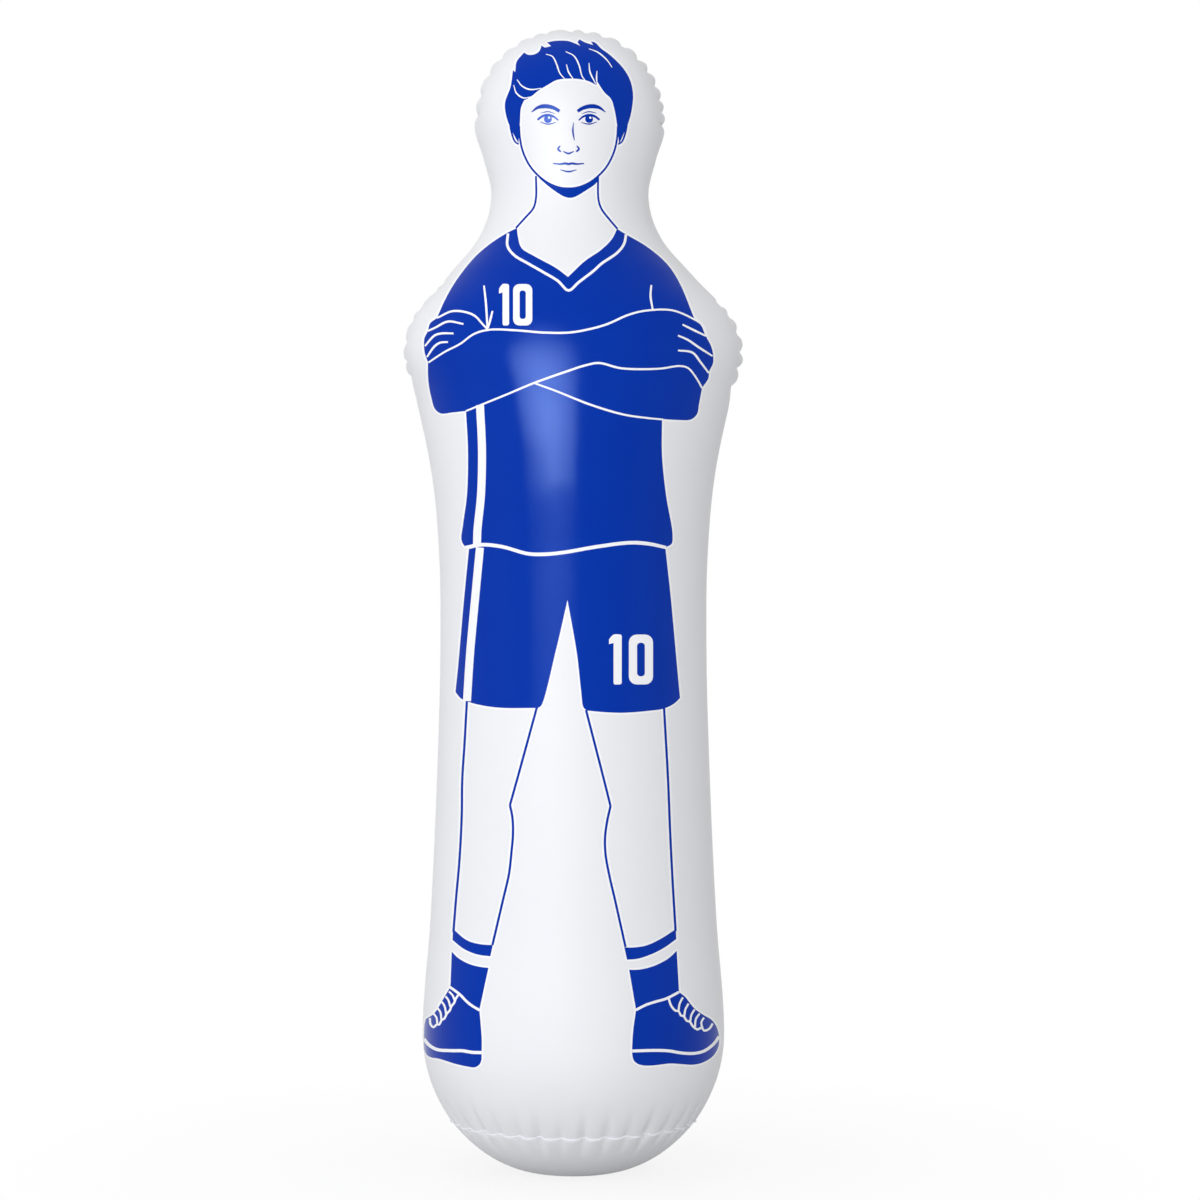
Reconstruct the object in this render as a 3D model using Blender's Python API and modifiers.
"""Inflatable training mannequin: a bop-bag figure of welded PVC film with a water-ballasted round base.

Metres, +Z up. The origin is the middle of the flat foot on the floor, and the printed front faces -Y.
The body is two sheets, front and rear, welded up both sides and over the crown, on a gathered base sheet.
"""
import math

import bmesh
import bpy
from mathutils import Matrix, Vector

# Film
FILM = 0.00035
BASE_FILM = 0.0005
GAP = 0.0003

# Bowl of the base: the radius falls from BOWL_RADIUS at BOWL_HEIGHT to FOOT_RADIUS on the floor
FOOT_RADIUS = 0.060
BOWL_RADIUS = 0.2118
BOWL_HEIGHT = 0.190
BOWL_POWER = 1.2
SEAM_HEIGHT = 0.0706
SEAM_LIP = 0.0018

# Body: height, half width and half depth at each station, from the bowl to the middle of the head
STATIONS = (
    (BOWL_HEIGHT, BOWL_RADIUS, BOWL_RADIUS),
    (0.350, 0.2010, 0.1990),
    (0.570, 0.1910, 0.1880),
    (0.730, 0.1870, 0.1835),
    (0.860, 0.1887, 0.1835),
    (0.967, 0.1980, 0.1860),
    (1.080, 0.2210, 0.1862),
    (1.150, 0.2390, 0.1815),
    (1.192, 0.2265, 0.1735),
    (1.248, 0.1770, 0.1505),
    (1.305, 0.1290, 0.1210),
    (1.368, 0.1105, 0.1050),
    (1.417, 0.1210, 0.1040),
    (1.465, 0.1340, 0.1060),
)
HEAD_HEIGHT, HEAD_HALF_WIDTH, HEAD_HALF_DEPTH = STATIONS[-1]
HEAD_RISE = 0.135
HEAD_LEAN = -0.005
LEAN_START, LEAN_END = 1.14, 1.30
HEAD_FULLNESS = 2.15

# Puckers: the film is gathered along the shoulders, the head and the base seam
PINCH = 0.0045
SHOULDER_LOW = 1.1025
SHOULDER_LOBES = 6
SHOULDER_PITCH = 0.0235
HEAD_LOBES = 17
BASE_LOBES = 36
BASE_PINCH = 0.0026
BASE_WAVE = 0.0013
BASE_FADE_UP = 0.055
BASE_FADE_DOWN = 0.042

# Mesh density of the sheets; the turns, in degrees, go down the bowl from its widest level
COLUMNS = BASE_LOBES // 4
WALL_TURNS = (6.0, 13.0)
FINE_TURNS = (21.0, 28.0, 34.0)
BASE_TURNS = (42.5, 48.0, 55.0, 64.0, 76.0, 90.0)
PLAIN_ROWS = 12
NECK_ROWS = 6
TURN_STEPS = 24
NECK_STEPS = 32

# Ballast
BAG_FILM = 0.0006
BAG_INSET = 0.007
BAG_TOP = 0.134
BAG_NECK_RADIUS = 0.0150
BAG_NECK_SETBACK = 0.074
BAG_NECK_BEND = 0.035
BAG_NECK_STEPS = 6
BAG_MOUTH_DEPTH = 0.0075
WATER_TOP = 0.122
WATER_GAP = 0.0008

# Air valve, on the rear at mid height; lengths along its axis are from the film's outer face
AIR_HEIGHT = 0.800
AIR_FLANGE_RADIUS = 0.0200
AIR_SKIRT_RADIUS = 0.0240
AIR_STEM_RADIUS = 0.0065
AIR_STEM_BORE = 0.0036
AIR_STEM_LENGTH = 0.0210
AIR_RIM_RADIUS = 0.0085
AIR_FLAP_RADIUS = 0.0056
AIR_PLUG_RADIUS = 0.0075

# Filler, low on the rear, at the widest part of the bowl
FILLER_HEIGHT = 0.205
FILLER_FLANGE_RADIUS = 0.0270
FILLER_SKIRT_RADIUS = 0.0310
NECK_BORE = 0.0115
NECK_CORE = 0.0150
NECK_TOP = 0.0140
SPIGOT_LENGTH = 0.0240
SPIGOT_RADIUS = 0.0132
THREAD_PITCH = 0.0050
THREAD_HEIGHT = 0.0012
CAP_RADIUS = 0.0200
CAP_BORE = 0.0166
CAP_BOTTOM = 0.0026
CAP_CEILING = 0.0155
CAP_TOP = 0.0175
CAP_FLUTES = 24

# Colours and finish: red, green, blue, roughness
WHITE_FILM = (0.82, 0.83, 0.86, 0.34)
CLEAR_FILM = (0.70, 0.74, 0.78, 0.30)
WATER = (0.45, 0.62, 0.70, 0.05)
MOULDED_WHITE = (0.78, 0.80, 0.82, 0.40)
MOULDED_BLUE = (0.02, 0.06, 0.36, 0.42)
SEAL_RUBBER = (0.05, 0.05, 0.055, 0.65)


# Scene, materials and objects

def empty_scene():
    """Remove every object, mesh, curve and material that the file opened with."""
    for item in list(bpy.data.objects):
        bpy.data.objects.remove(item, do_unlink=True)


def new_collection(name):
    collection = bpy.data.collections.new(name)
    bpy.context.scene.collection.children.link(collection)
    return collection


def new_material(name, finish):
    """A Principled material from red, green, blue and roughness."""
    material = bpy.data.materials.new(name)
    material.use_nodes = True
    shader = material.node_tree.nodes["Principled BSDF"]
    shader.inputs["Base Color"].default_value = (*finish[:3], 1.0)
    shader.inputs["Roughness"].default_value = finish[3]
    shader.inputs["Metallic"].default_value = 0.0
    material.diffuse_color = (*finish[:3], 1.0)
    return material


def new_part(name, mesh, finish, collection):
    """An object with its own material, shaded smooth with sharp edges kept."""
    part = bpy.data.objects.new(name, mesh)
    collection.objects.link(part)
    mesh.materials.append(new_material(name + "_finish", finish))
    return part


def new_cutter(name, mesh, collection):
    """A guide body for a Boolean: drawn as wire and never rendered."""
    cutter = bpy.data.objects.new(name, mesh)
    collection.objects.link(cutter)
    cutter.display_type = "WIRE"
    cutter.hide_render = True
    return cutter


def boolean(part, other, operation):
    step = part.modifiers.new(operation.lower() + "_" + other.name, "BOOLEAN")
    step.operation = operation
    step.solver = "EXACT"
    step.object = other


def solidify(part, thickness):
    """Give an open sheet its thickness on its inner side."""
    step = part.modifiers.new("film", "SOLIDIFY")
    step.thickness = thickness
    step.offset = -1.0


def turn(part, steps):
    """Sweep the part's profile about its own Z axis."""
    step = part.modifiers.new("turn", "SCREW")
    step.axis = "Z"
    step.angle = 2.0 * math.pi
    step.steps = steps
    step.render_steps = steps
    step.use_merge_vertices = True
    step.merge_threshold = 0.00001
    step.use_smooth_shade = True


def profile_mesh(name, outline, closed):
    """Edges of a turned profile of (radius, height) points; a closed one is a ring about the axis."""
    mesh = bpy.data.meshes.new(name)
    corners = [(radius, 0.0, height) for radius, height in outline]
    edges = [(index, index + 1) for index in range(len(outline) - 1)]
    if closed:
        edges.append((len(outline) - 1, 0))
    mesh.from_pydata(corners, edges, [])
    return mesh


def face_rearward(part, height, depth):
    """Set a valve piece on the rear film, with its own Z axis pointing out along +Y."""
    part.location = (0.0, depth, height)
    part.rotation_euler = (-math.pi / 2.0, 0.0, 0.0)


# Shape of the inflated body

def slope(index, column):
    """Slope of a station's half width or half depth, level at both ends."""
    if index in (0, len(STATIONS) - 1):
        return 0.0
    below, here, above = STATIONS[index - 1:index + 2]
    rise_below = here[0] - below[0]
    rise_above = above[0] - here[0]
    slope_below = (here[column] - below[column]) / rise_below
    slope_above = (above[column] - here[column]) / rise_above
    return (slope_below * rise_above + slope_above * rise_below) / (rise_below + rise_above)


def half_size(height, column):
    """Half width (column 1) or half depth (column 2) at a height, on a smooth curve through the stations."""
    index = sum(station[0] <= height for station in STATIONS[1:-1])
    low, high = STATIONS[index], STATIONS[index + 1]
    span = high[0] - low[0]
    t = (height - low[0]) / span
    start, end = low[column], high[column]
    start_pull = slope(index, column) * span
    end_pull = slope(index + 1, column) * span
    return ((2 * t ** 3 - 3 * t ** 2 + 1) * start + (t ** 3 - 2 * t ** 2 + t) * start_pull
            + (3 * t ** 2 - 2 * t ** 3) * end + (t ** 3 - t ** 2) * end_pull)


def lean(height):
    """Sideways shift of the body: the head stands a little to the mannequin's right."""
    t = min(max((height - LEAN_START) / (LEAN_END - LEAN_START), 0.0), 1.0)
    return HEAD_LEAN * t * t * (3.0 - 2.0 * t)


def bowl_point(turned):
    """Radius and height of the bowl; turned is 0 at its widest and a quarter turn at the foot."""
    radius = FOOT_RADIUS + (BOWL_RADIUS - FOOT_RADIUS) * max(math.cos(turned), 0.0) ** BOWL_POWER
    return Vector((radius, BOWL_HEIGHT * (1.0 - math.sin(turned))))


def bowl_normal(turned):
    """Outward normal of the bowl's profile."""
    step = 0.001
    along = bowl_point(turned + step) - bowl_point(turned - step)
    return Vector((-along.y, along.x)).normalized()


SEAM_TURN = math.asin(1.0 - SEAM_HEIGHT / BOWL_HEIGHT)


def base_pucker(column, distance, fade):
    """Radial and upward shift at a fine column, some distance along the film from the base seam."""
    left = max(1.0 - distance / fade, 0.0) ** 1.5
    if column % 2 == 1:
        return Vector((-BASE_PINCH * left, BASE_WAVE * left))
    return Vector((0.0, -BASE_WAVE * left))


def round_point(profile, angle):
    """A point of a round section: angle 0 faces the front, and a quarter turn the mannequin's right edge."""
    return Vector((profile.x * math.sin(angle), -profile.x * math.cos(angle), profile.y))


# Front and rear sheets

def fine_row(turned, side):
    """A row of the sheet near the base seam, with a pinch at each second column."""
    distance = (bowl_point(turned) - bowl_point(SEAM_TURN)).length
    columns = 2 * COLUMNS
    row = []
    for column in range(-columns, columns + 1):
        profile = bowl_point(turned) + base_pucker(column, distance, BASE_FADE_UP)
        row.append(round_point(profile, column * math.pi / (2 * columns)))
    return [Vector((point.x, -side * point.y, point.z)) for point in row]


def rib(half_width, half_depth, height, side):
    """A level row of the sheet from the left seam to the right one."""
    row = []
    for column in range(-COLUMNS, COLUMNS + 1):
        angle = column * math.pi / (2 * COLUMNS)
        row.append(Vector((half_width * math.sin(angle), side * half_depth * math.cos(angle), height)))
    return row


def pinched(row, depth):
    """Draw a row's ends in by depth, and the points beside them a little."""
    if depth > 0.0:
        for end, next_in, sign in ((0, 1, 1.0), (-1, -2, -1.0)):
            row[end].x += sign * depth
            row[next_in].x += sign * 0.25 * depth
    return row


def body_rows():
    """Height and pinch of each level row from the bowl's widest point to the middle of the head."""
    plain = (SHOULDER_LOW - BOWL_HEIGHT) / PLAIN_ROWS
    rows = [(BOWL_HEIGHT + plain * step, 0.0) for step in range(PLAIN_ROWS)]
    last = 2 * SHOULDER_LOBES
    for step in range(last + 1):
        depth = PINCH if step % 2 == 0 else 0.0
        if step in (0, last):
            depth = PINCH / 2.0
        rows.append((SHOULDER_LOW + step * SHOULDER_PITCH / 2.0, depth))
    lobe = HEAD_HALF_WIDTH * math.sin(math.pi / (2 * HEAD_LOBES))
    shoulder_top = rows[-1][0]
    neck = (HEAD_HEIGHT - 2 * lobe - shoulder_top) / NECK_ROWS
    rows += [(shoulder_top + neck * (step + 1), 0.0) for step in range(NECK_ROWS)]
    rows.append((HEAD_HEIGHT - lobe, PINCH / 2.0))
    rows.append((HEAD_HEIGHT, 0.0))
    return rows


def head_reach(angle):
    """Distance from the middle of the head to its seam, at an angle above the right side."""
    across = abs(math.cos(angle)) / HEAD_HALF_WIDTH
    up = math.sin(angle) / HEAD_RISE
    return (across ** HEAD_FULLNESS + up ** HEAD_FULLNESS) ** (-1.0 / HEAD_FULLNESS)


def head_rib(step, side):
    """A row from beside the middle of the head out to its seam; every second one is a pinch."""
    angle = step * math.pi / (2 * HEAD_LOBES)
    depth = PINCH if (step - HEAD_LOBES) % 2 == 0 else 0.0
    row = []
    for column in range(1, COLUMNS + 1):
        swing = column * math.pi / (2 * COLUMNS)
        reach = head_reach(angle) * math.sin(swing)
        if column == COLUMNS:
            reach -= depth
        elif column == COLUMNS - 1:
            reach -= 0.25 * depth
        depth_here = side * HEAD_HALF_DEPTH * math.cos(swing)
        row.append(Vector((reach * math.cos(angle), depth_here, HEAD_HEIGHT + reach * math.sin(angle))))
    return row


def add_face(mesh, corners, side):
    """A face that looks outward on the front (side -1) and, reversed, on the rear."""
    mesh.faces.new(corners if side < 0 else list(reversed(corners)))


def sheet_mesh(name, side):
    """The open surface of the front (side -1) or rear (side 1) sheet."""
    mesh = bmesh.new()

    def add_row(points):
        return [mesh.verts.new(point + Vector((lean(point.z), side * GAP / 2.0, 0.0))) for point in points]

    fine = [add_row(fine_row(SEAM_TURN, side))]
    fine += [add_row(fine_row(math.radians(degrees), side)) for degrees in reversed(FINE_TURNS)]
    for low, high in zip(fine, fine[1:]):
        for column in range(len(low) - 1):
            add_face(mesh, [low[column], low[column + 1], high[column + 1], high[column]], side)

    coarse = []
    for degrees in reversed(WALL_TURNS):
        profile = bowl_point(math.radians(degrees))
        coarse.append(add_row(rib(profile.x, profile.x, profile.y, side)))
    for height, pinch in body_rows():
        row = rib(half_size(height, 1), half_size(height, 2), height, side)
        coarse.append(add_row(pinched(row, pinch)))
    for column in range(2 * COLUMNS):
        left, right = coarse[0][column], coarse[0][column + 1]
        first, middle, last = fine[-1][2 * column:2 * column + 3]
        add_face(mesh, [first, middle, left], side)
        add_face(mesh, [middle, right, left], side)
        add_face(mesh, [middle, last, right], side)
    for low, high in zip(coarse, coarse[1:]):
        for column in range(2 * COLUMNS):
            add_face(mesh, [low[column], low[column + 1], high[column + 1], high[column]], side)

    centre = coarse[-1][COLUMNS]
    ribs = [coarse[-1][COLUMNS + 1:]]
    ribs += [add_row(head_rib(step, side)) for step in range(1, 2 * HEAD_LOBES)]
    ribs.append(list(reversed(coarse[-1][:COLUMNS])))
    for right, left in zip(ribs, ribs[1:]):
        add_face(mesh, [centre, right[0], left[0]], side)
        for column in range(COLUMNS - 1):
            add_face(mesh, [right[column], right[column + 1], left[column + 1], left[column]], side)

    sheet = bpy.data.meshes.new(name)
    mesh.to_mesh(sheet)
    mesh.free()
    sheet.shade_smooth()
    return sheet


def make_sheets(parts, cutters):
    """The printed front and the plain rear, which has a round hole for each valve."""
    front = new_part("front_panel", sheet_mesh("front_panel", -1), WHITE_FILM, parts)
    rear = new_part("rear_panel", sheet_mesh("rear_panel", 1), WHITE_FILM, parts)
    for sheet in (front, rear):
        solidify(sheet, FILM)
    holes = (("air_valve_hole", AIR_HEIGHT, AIR_FLANGE_RADIUS),
             ("filler_hole", FILLER_HEIGHT, FILLER_FLANGE_RADIUS))
    for name, height, radius in holes:
        drill = new_cutter(name, cylinder_mesh(name, radius + GAP, 0.060, NECK_STEPS), cutters)
        face_rearward(drill, height, half_size(height, 2))
        boolean(rear, drill, "DIFFERENCE")


def make_base(parts):
    """The round bottom sheet: flat foot, gathered wall, and a lip that turns out at the seam."""
    mesh = bmesh.new()
    count = 2 * BASE_LOBES
    seam = bowl_point(SEAM_TURN)
    out = bowl_normal(SEAM_TURN)
    down = Vector((out.y, -out.x))
    start = seam + down * (GAP + BASE_FILM)
    profile = [(start + out * SEAM_LIP, 0.0), (start, 0.0)]
    for degrees in BASE_TURNS:
        point = bowl_point(math.radians(degrees))
        profile.append((point, (point - seam).length))
    rings = []
    for point, distance in profile:
        ring = []
        for column in range(count):
            shifted = point + base_pucker(column, distance, BASE_FADE_DOWN)
            ring.append(mesh.verts.new(round_point(shifted, column * 2.0 * math.pi / count)))
        rings.append(ring)
    for high, low in zip(rings, rings[1:]):
        for column in range(count):
            after = (column + 1) % count
            mesh.faces.new([low[column], low[after], high[after], high[column]])
    centre = mesh.verts.new((0.0, 0.0, 0.0))
    for column in range(count):
        mesh.faces.new([centre, rings[-1][(column + 1) % count], rings[-1][column]])
    sheet = bpy.data.meshes.new("base_panel")
    mesh.to_mesh(sheet)
    mesh.free()
    sheet.shade_smooth()
    base = new_part("base_panel", sheet, WHITE_FILM, parts)
    solidify(base, BASE_FILM)
    base.modifiers["film"].use_even_offset = True


# Plain solids

def cylinder_mesh(name, radius, depth, segments):
    mesh = bmesh.new()
    bmesh.ops.create_cone(mesh, cap_ends=True, segments=segments, radius1=radius, radius2=radius, depth=depth)
    result = bpy.data.meshes.new(name)
    mesh.to_mesh(result)
    mesh.free()
    return result


def smooth_path(points, steps):
    """A Catmull-Rom curve through the points, with the same number of steps between each two."""
    ends = [2 * points[0] - points[1]] + points + [2 * points[-1] - points[-2]]
    path = []
    for a, b, c, d in zip(ends, ends[1:], ends[2:], ends[3:]):
        for step in range(steps):
            t = step / steps
            path.append(0.5 * (2 * b + (c - a) * t + (2 * a - 5 * b + 4 * c - d) * t ** 2
                               + (3 * b - a - 3 * c + d) * t ** 3))
    path.append(points[-1])
    return path


def band_mesh(name, path, width):
    """An open strip along a path of (reach, height) points, square to its own X axis."""
    mesh = bmesh.new()
    rows = [[mesh.verts.new((side * width / 2.0, point.x, point.y)) for side in (-1, 1)] for point in path]
    for low, high in zip(rows, rows[1:]):
        mesh.faces.new([low[0], low[1], high[1], high[0]])
    result = bpy.data.meshes.new(name)
    mesh.to_mesh(result)
    mesh.free()
    return result


# Ballast

def bag_profile(inset, top):
    """Down the outer side of a body that lies in the bowl, a little inside it, with a level top."""
    start = math.asin(1.0 - (top - 0.010) / BOWL_HEIGHT)
    outline = [(0.0, top), (0.55 * BOWL_RADIUS, top)]
    lower = [math.radians(degrees) for degrees in FINE_TURNS + BASE_TURNS]
    for turned in [start] + [turned for turned in lower if turned > start + 0.02]:
        clearance = BASE_FILM + inset + BAG_INSET * math.cos(turned) ** 2
        point = bowl_point(turned) - bowl_normal(turned) * clearance
        outline.append((point.x, point.y))
    outline.append((0.0, BASE_FILM + inset))
    return outline


def bag_neck_mesh(name, radius, points):
    """The bag's rising neck as a round tube with closed ends, made a mesh for the Booleans."""
    curve = bpy.data.curves.new(name, "CURVE")
    curve.dimensions = "3D"
    curve.bevel_depth = radius
    curve.bevel_resolution = 4
    curve.use_fill_caps = True
    spline = curve.splines.new("POLY")
    spline.points.add(len(points) - 1)
    for point, place in zip(spline.points, points):
        point.co = (*place, 1.0)
    holder = bpy.data.objects.new(name, curve)
    bpy.context.scene.collection.objects.link(holder)
    evaluated = holder.evaluated_get(bpy.context.evaluated_depsgraph_get())
    tube = bpy.data.meshes.new_from_object(evaluated)
    bpy.data.objects.remove(holder, do_unlink=True)
    welded = bmesh.new()
    welded.from_mesh(tube)
    bmesh.ops.remove_doubles(welded, verts=welded.verts, dist=0.00001)
    bmesh.ops.recalc_face_normals(welded, faces=welded.faces)
    welded.to_mesh(tube)
    welded.free()
    return tube


def make_ballast(parts, cutters):
    """The bag in the bowl, its neck on the filler's spigot, and the water that fills most of it."""
    wall = half_size(FILLER_HEIGHT, 2)
    rise = wall - BAG_NECK_SETBACK
    start_of_bend = FILLER_HEIGHT - BAG_NECK_BEND
    route = [Vector((0.0, rise, BAG_TOP - 0.016))]
    for step in range(BAG_NECK_STEPS + 1):
        swing = math.pi / 2.0 * step / BAG_NECK_STEPS
        route.append(Vector((0.0, rise + BAG_NECK_BEND * (1.0 - math.cos(swing)),
                             start_of_bend + BAG_NECK_BEND * math.sin(swing))))
    route.append(Vector((0.0, wall - BAG_MOUTH_DEPTH, FILLER_HEIGHT)))
    longer = route[:-1] + [route[-1] + Vector((0.0, 0.010, 0.0))]
    bag = new_part("ballast_bag", profile_mesh("ballast_bag", bag_profile(GAP, BAG_TOP), False),
                   CLEAR_FILM, parts)
    turn(bag, TURN_STEPS)
    neck = new_cutter("bag_neck", bag_neck_mesh("bag_neck", BAG_NECK_RADIUS, route), cutters)
    boolean(bag, neck, "UNION")
    inside = new_cutter("bag_inside", profile_mesh("bag_inside", bag_profile(
        GAP + BAG_FILM, BAG_TOP - BAG_FILM), False), cutters)
    turn(inside, TURN_STEPS)
    boolean(bag, inside, "DIFFERENCE")
    bore = new_cutter("bag_neck_bore", bag_neck_mesh("bag_neck_bore", BAG_NECK_RADIUS - BAG_FILM, longer),
                      cutters)
    boolean(bag, bore, "DIFFERENCE")
    water = new_part("ballast_water", profile_mesh("ballast_water", bag_profile(
        GAP + BAG_FILM + WATER_GAP, WATER_TOP), False), WATER, parts)
    turn(water, TURN_STEPS)


# Air valve

def make_air_valve(parts):
    """Collar in the film, stem that slides in it, check flap behind it, and the plug on its strap."""
    depth = half_size(AIR_HEIGHT, 2)
    well = AIR_STEM_RADIUS + 0.0004
    shapes = {
        "air_valve_collar": (
            (well, 0.0006), (AIR_FLANGE_RADIUS - 0.0010, 0.0006), (AIR_FLANGE_RADIUS, 0.0002),
            (AIR_FLANGE_RADIUS, -0.0024), (AIR_SKIRT_RADIUS, -0.0024), (AIR_SKIRT_RADIUS, -0.0032),
            (well + 0.0022, -0.0032), (well + 0.0014, -0.0050), (well, -0.0050)),
        "air_valve_stem": (
            (AIR_STEM_BORE, 0.0024), (AIR_RIM_RADIUS, 0.0024), (AIR_RIM_RADIUS, 0.0009),
            (AIR_STEM_RADIUS, 0.0009), (AIR_STEM_RADIUS, 0.0015 - AIR_STEM_LENGTH),
            (AIR_STEM_RADIUS + 0.0017, 0.0015 - AIR_STEM_LENGTH),
            (AIR_STEM_RADIUS + 0.0017, -AIR_STEM_LENGTH), (AIR_STEM_BORE, -AIR_STEM_LENGTH)),
        "air_valve_plug": (
            (0.0, 0.0045), (AIR_PLUG_RADIUS - 0.0006, 0.0045), (AIR_PLUG_RADIUS, 0.0039),
            (AIR_PLUG_RADIUS, 0.0027), (AIR_STEM_BORE - GAP, 0.0027), (AIR_STEM_BORE - GAP, -0.0050),
            (AIR_STEM_BORE - 0.0011, -0.0063), (0.0, -0.0063)),
        "air_valve_flap": (
            (0.0, -AIR_STEM_LENGTH - GAP), (AIR_FLAP_RADIUS, -AIR_STEM_LENGTH - GAP),
            (AIR_FLAP_RADIUS, -AIR_STEM_LENGTH - GAP - 0.0006), (0.0, -AIR_STEM_LENGTH - GAP - 0.0006)),
    }
    finishes = {"air_valve_collar": MOULDED_WHITE, "air_valve_stem": MOULDED_WHITE,
                "air_valve_plug": MOULDED_WHITE, "air_valve_flap": CLEAR_FILM}
    for name, outline in shapes.items():
        closed = outline[0][0] > 0.0
        piece = new_part(name, profile_mesh(name, outline, closed), finishes[name], parts)
        turn(piece, TURN_STEPS)
        face_rearward(piece, AIR_HEIGHT, depth)

    # The strap leaves the stem's rim, turns back and meets the edge of the plug's head
    route = [Vector((AIR_RIM_RADIUS + 0.0004, 0.00205)), Vector((0.0125, 0.0020)), Vector((0.0152, 0.0023)),
             Vector((0.0159, 0.0031)), Vector((0.0148, 0.0038)), Vector((0.0118, 0.0036)),
             Vector((AIR_PLUG_RADIUS + 0.0004, 0.0033))]
    strap = new_part("air_plug_strap", band_mesh("air_plug_strap", smooth_path(route, 3), 0.0050),
                     MOULDED_WHITE, parts)
    solidify(strap, 0.0008)
    face_rearward(strap, AIR_HEIGHT, depth)


# Filler

def ridge_mesh(name, root, crest, low, high, start_angle=0.0):
    """A right-hand helical thread ridge between two heights, which fades out at both ends."""
    mesh = bmesh.new()
    turns = (high - low) / THREAD_PITCH
    steps = int(round(turns * TURN_STEPS))
    rows = []
    for step in range(steps + 1):
        angle = start_angle + 2.0 * math.pi * turns * step / steps
        height = low + (high - low) * step / steps
        fade = min(step, steps - step, 4) / 4.0
        top = root + (crest - root) * (0.25 + 0.75 * fade)
        section = ((root, -0.0010), (top, -0.0006), (top, 0.0006), (root, 0.0010))
        rows.append([mesh.verts.new((radius * math.cos(angle), radius * math.sin(angle), height + lift))
                     for radius, lift in section])
    for here, after in zip(rows, rows[1:]):
        for corner in range(4):
            across = (corner + 1) % 4
            mesh.faces.new([here[corner], here[across], after[across], after[corner]])
    mesh.faces.new(rows[0])
    mesh.faces.new(rows[-1])
    bmesh.ops.recalc_face_normals(mesh, faces=mesh.faces)
    result = bpy.data.meshes.new(name)
    mesh.to_mesh(result)
    mesh.free()
    return result


def fluted_mesh(name, radius, bottom, top):
    """A round block with shallow finger flutes round its edge."""
    mesh = bmesh.new()
    count = 2 * CAP_FLUTES
    ring = []
    for index in range(count):
        angle = 2.0 * math.pi * index / count
        reach = radius if index % 2 == 0 else radius - 0.0007
        ring.append(mesh.verts.new((reach * math.cos(angle), reach * math.sin(angle), bottom)))
    base = mesh.faces.new(ring)
    lifted = bmesh.ops.extrude_face_region(mesh, geom=[base])["geom"]
    bmesh.ops.translate(mesh, vec=(0.0, 0.0, top - bottom),
                        verts=[item for item in lifted if isinstance(item, bmesh.types.BMVert)])
    bmesh.ops.recalc_face_normals(mesh, faces=mesh.faces)
    result = bpy.data.meshes.new(name)
    mesh.to_mesh(result)
    mesh.free()
    return result


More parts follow.
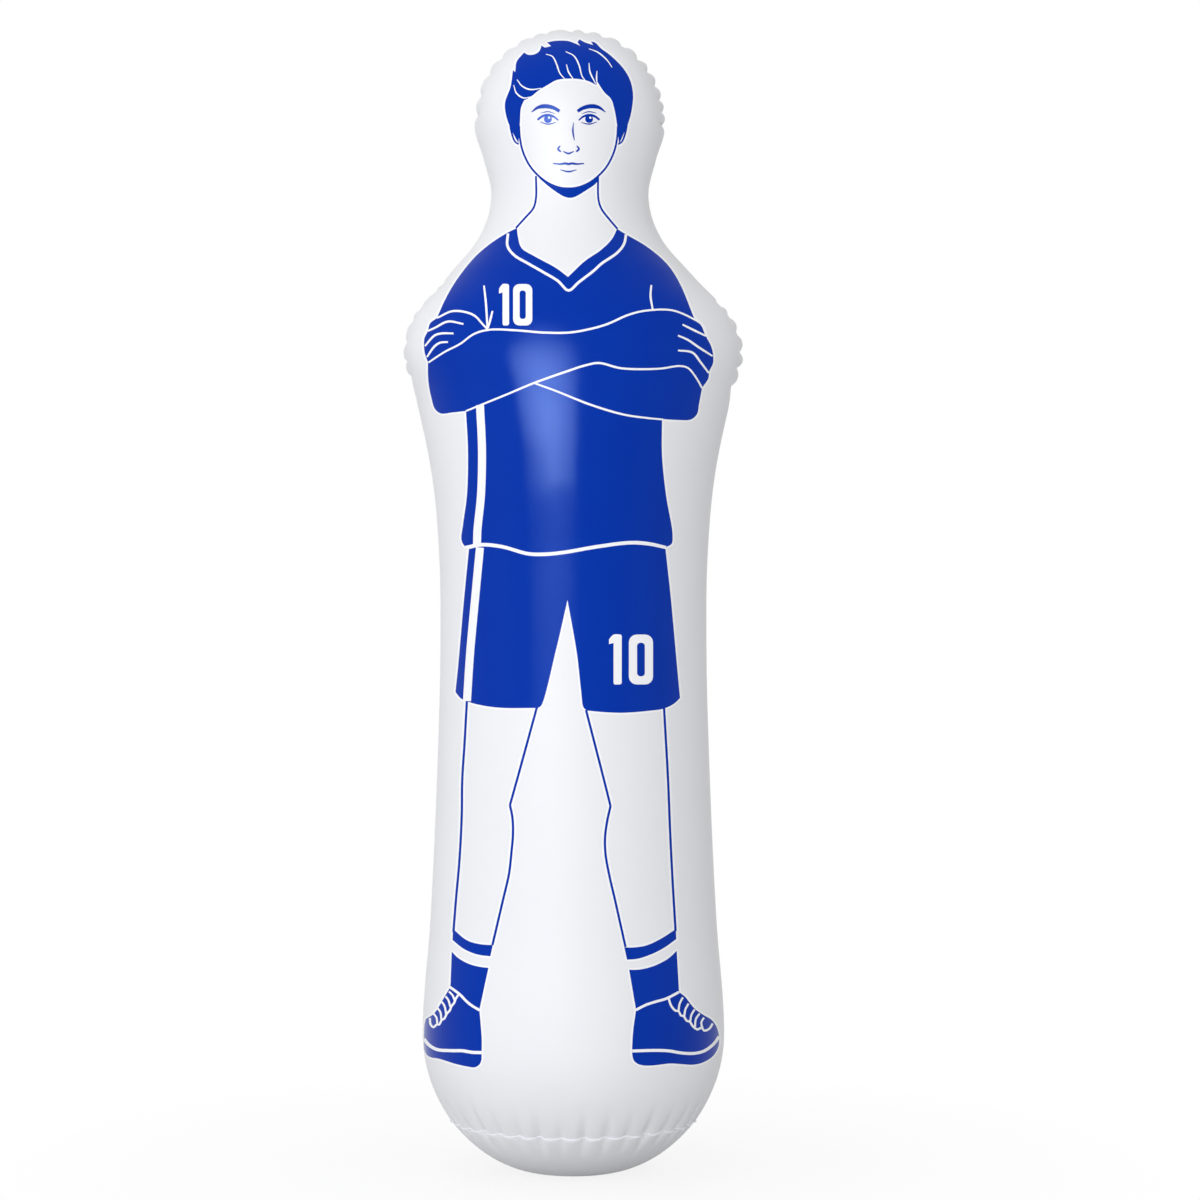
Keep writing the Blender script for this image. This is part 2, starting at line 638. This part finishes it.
def make_filler(parts, cutters):
    """Threaded neck in the film with the bag's spigot behind it, seal, cap and tether."""
    depth = half_size(FILLER_HEIGHT, 2)

    def cutter(name, mesh):
        guide = new_cutter(name, mesh, cutters)
        face_rearward(guide, FILLER_HEIGHT, depth)
        return guide

    def piece(name, mesh, finish):
        part = new_part(name, mesh, finish, parts)
        face_rearward(part, FILLER_HEIGHT, depth)
        return part

    neck = piece("filler_neck", profile_mesh("filler_neck", (
        (NECK_BORE, NECK_TOP), (NECK_CORE - 0.0005, NECK_TOP), (NECK_CORE, NECK_TOP - 0.0005),
        (NECK_CORE, 0.0008), (FILLER_FLANGE_RADIUS - 0.0010, 0.0008), (FILLER_FLANGE_RADIUS, 0.0004),
        (FILLER_FLANGE_RADIUS, -0.0046), (FILLER_SKIRT_RADIUS, -0.0046), (FILLER_SKIRT_RADIUS, -0.0056),
        (SPIGOT_RADIUS, -0.0056), (SPIGOT_RADIUS, -SPIGOT_LENGTH), (NECK_BORE, -SPIGOT_LENGTH)), True),
        MOULDED_WHITE)
    turn(neck, NECK_STEPS)
    boolean(neck, cutter("neck_thread", ridge_mesh(
        "neck_thread", NECK_CORE - 0.0004, NECK_CORE + THREAD_HEIGHT, 0.0055, 0.0120)), "UNION")

    seal = piece("filler_seal", profile_mesh("filler_seal", (
        (NECK_BORE, CAP_CEILING - GAP), (NECK_CORE, CAP_CEILING - GAP), (NECK_CORE, NECK_TOP + GAP),
        (NECK_BORE, NECK_TOP + GAP)), True), SEAL_RUBBER)
    turn(seal, TURN_STEPS)

    cap = piece("filler_cap", fluted_mesh("filler_cap", CAP_RADIUS, CAP_BOTTOM, CAP_TOP), MOULDED_BLUE)
    room = CAP_CEILING - CAP_BOTTOM + 0.010
    hollow = cylinder_mesh("cap_hollow", CAP_BORE, room, NECK_STEPS)
    hollow.transform(Matrix.Translation((0.0, 0.0, CAP_CEILING - room / 2.0)))
    boolean(cap, cutter("cap_hollow", hollow), "DIFFERENCE")
    boolean(cap, cutter("cap_thread", ridge_mesh(
        "cap_thread", CAP_BORE + 0.0004, NECK_CORE + 0.0004, 0.0055, 0.0105, math.pi)), "UNION")
    boolean(cap, cutter("cap_knob", profile_mesh("cap_knob", (
        (0.0, CAP_TOP + 0.0036), (0.0036, CAP_TOP + 0.0036), (0.0042, CAP_TOP + 0.0030),
        (0.0042, CAP_TOP + 0.0024), (0.0026, CAP_TOP + 0.0020), (0.0026, CAP_TOP - 0.0010),
        (0.0, CAP_TOP - 0.0010)), False)), "UNION")
    turn(bpy.data.objects["cap_knob"], 16)

    # The strap is a ring round the neck's foot, a loop of band below it, and an eye under the cap's knob
    eye = CAP_TOP + 0.0010
    route = [Vector((0.0185, 0.00225)), Vector((0.0290, 0.0026)), Vector((0.0360, 0.0052)),
             Vector((0.0390, 0.0110)), Vector((0.0365, 0.0162)), Vector((0.0290, 0.0188)),
             Vector((0.0170, 0.0186)), Vector((0.0050, eye - 0.0006))]
    strap = piece("filler_strap", band_mesh("filler_strap", smooth_path(route, 3), 0.0070), MOULDED_WHITE)
    solidify(strap, 0.0012)
    for name, inner, outer, middle in (("strap_ring", CAP_BORE, 0.0200, 0.0017),
                                       ("strap_eye", 0.0030, 0.0062, eye)):
        ring = cutter(name, profile_mesh(name, (
            (inner, middle + 0.0006), (outer, middle + 0.0006), (outer, middle - 0.0006),
            (inner, middle - 0.0006)), True))
        turn(ring, TURN_STEPS)
        boolean(strap, ring, "UNION")


def build():
    empty_scene()
    parts = new_collection("inflatable_training_mannequin")
    cutters = new_collection("cutters")
    make_sheets(parts, cutters)
    make_base(parts)
    make_ballast(parts, cutters)
    make_air_valve(parts)
    make_filler(parts, cutters)


build()
